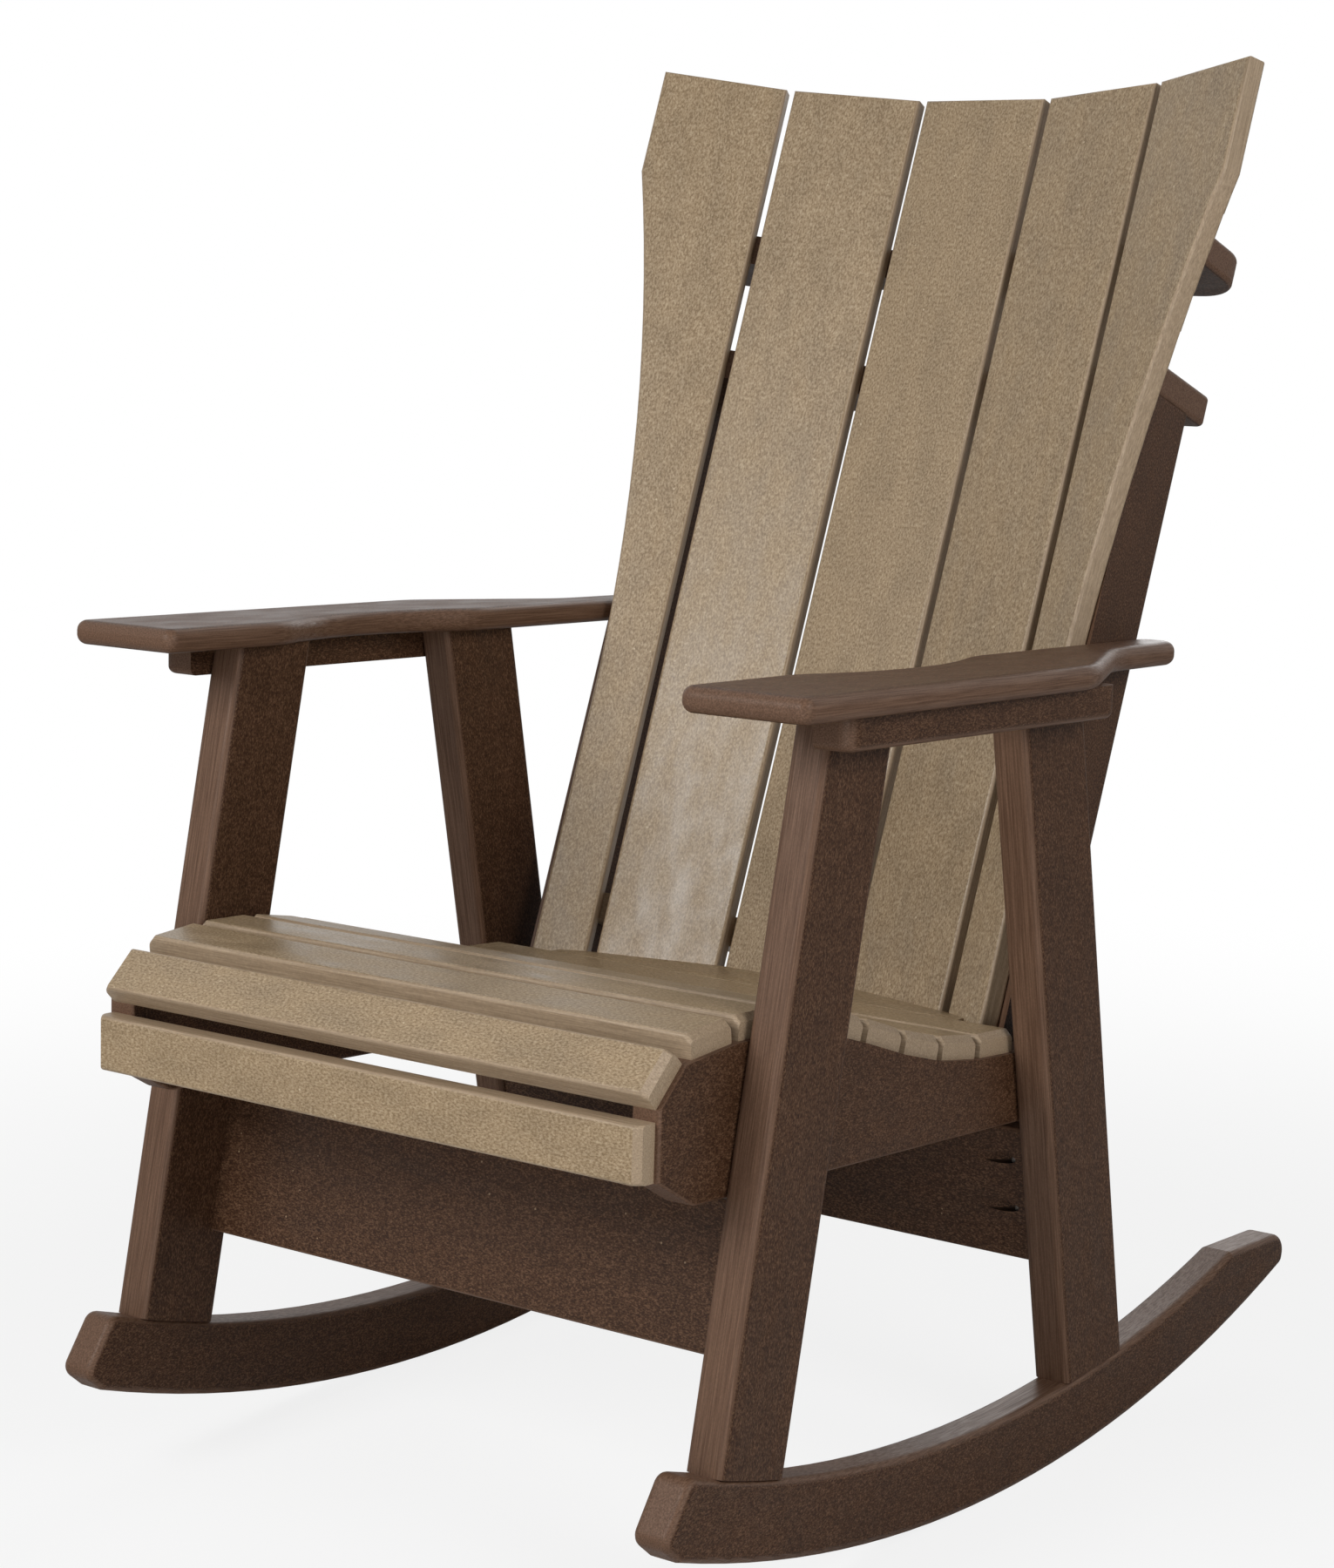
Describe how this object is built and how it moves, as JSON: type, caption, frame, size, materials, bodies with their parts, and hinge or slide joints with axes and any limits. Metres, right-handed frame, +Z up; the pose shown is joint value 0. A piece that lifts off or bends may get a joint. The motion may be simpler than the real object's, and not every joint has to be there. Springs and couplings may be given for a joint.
{
  "type": "rocking adirondack chair",
  "caption": "Rocking adirondack chair with two curved runners, leaning legs, wide arms, a dished slatted seat and a concave back of tall slats on three rails.",
  "frame": {"origin": "on the floor, at the middle of the two runners' line of contact when the chair is at rest", "axes": "+X to the sitter's left, +Y to the back of the chair, +Z up; the chair faces -Y"},
  "size_m": [0.6978, 0.8702, 1.0851],
  "materials": {
    "brown_lumber": "dark brown recycled plastic lumber with a fine speckle, matte faces and lighter milled edges",
    "tan_lumber": "driftwood tan recycled plastic lumber with a fine speckle, matte"
  },
  "bodies": {
    "root": {"arm_left": "brown_lumber", "arm_right": "brown_lumber", "arm_support_left": "brown_lumber", "arm_support_right": "brown_lumber", "back_slat_1": "tan_lumber", "back_slat_2": "tan_lumber", "back_slat_3": "tan_lumber", "back_slat_4": "tan_lumber", "back_slat_5": "tan_lumber", "back_upright_left": "brown_lumber", "back_upright_right": "brown_lumber", "front_leg_left": "brown_lumber", "front_leg_right": "brown_lumber", "front_stretcher": "brown_lumber", "lower_back_rail": "tan_lumber", "mid_back_rail": "brown_lumber", "rear_leg_left": "brown_lumber", "rear_leg_right": "brown_lumber", "rear_seat_slat": "tan_lumber", "rear_stretcher": "brown_lumber", "runner_left": "brown_lumber", "runner_right": "brown_lumber", "seat_apron": "tan_lumber", "seat_nose_slat": "tan_lumber", "seat_side_left": "brown_lumber", "seat_side_right": "brown_lumber", "seat_slat_1": "tan_lumber", "seat_slat_2": "tan_lumber", "seat_slat_3": "tan_lumber", "seat_slat_4": "tan_lumber", "seat_slat_5": "tan_lumber", "seat_slat_6": "tan_lumber", "seat_slat_7": "tan_lumber", "seat_slat_8": "tan_lumber", "top_back_rail": "brown_lumber"}
  },
  "joints": []
}
